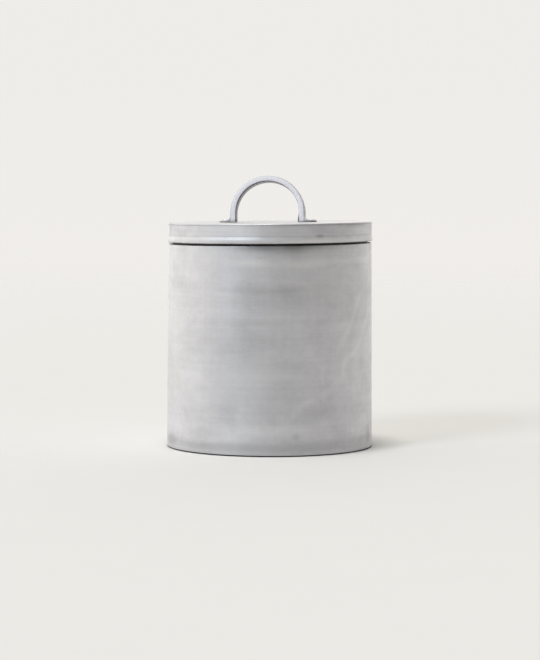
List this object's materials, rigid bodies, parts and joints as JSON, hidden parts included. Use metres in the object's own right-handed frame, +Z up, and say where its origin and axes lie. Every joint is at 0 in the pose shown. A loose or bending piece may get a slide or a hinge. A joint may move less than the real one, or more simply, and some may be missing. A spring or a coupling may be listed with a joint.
{
  "type": "candle jar",
  "caption": "Empty round sheet-metal candle jar with a lift-off lid that slips over a neck, a rolled hem and a bent strap handle.",
  "frame": {"origin": "centre of the foot ring, on the surface that the jar stands on", "axes": "+Z up along the jar's axis through the lid; the handle spans X; -Y is the front and the wall's lap seam is at the back, on +Y"},
  "size_m": [0.1008, 0.1008, 0.1324],
  "materials": {
    "jar_sheet": "pale grey zinc-coated sheet, satin, softly clouded and faintly brushed round the jar",
    "neck_sheet": "same sheet, dulled dark where the lid shades it",
    "lid_sheet": "pale grey zinc-coated sheet, satin, softly clouded",
    "handle_strap": "flat bent strap, pale matt grey, darker along its edges",
    "rivet_metal": "dull grey, hammered"
  },
  "bodies": {
    "jar": {"body_shell": "jar_sheet", "base_disc": "jar_sheet", "neck_collar": "neck_sheet"},
    "lid": {"lid_top": "lid_sheet", "lid_band": "lid_sheet", "handle": "handle_strap", "rivet_left": "rivet_metal", "rivet_right": "rivet_metal", "burr_left": "rivet_metal", "burr_right": "rivet_metal"}
  },
  "joints": [
    {"name": "lid_lift", "type": "slide", "parent": "jar", "child": "lid", "axis": [0, 0, 1], "range_m": [0, 0.12]}
  ]
}
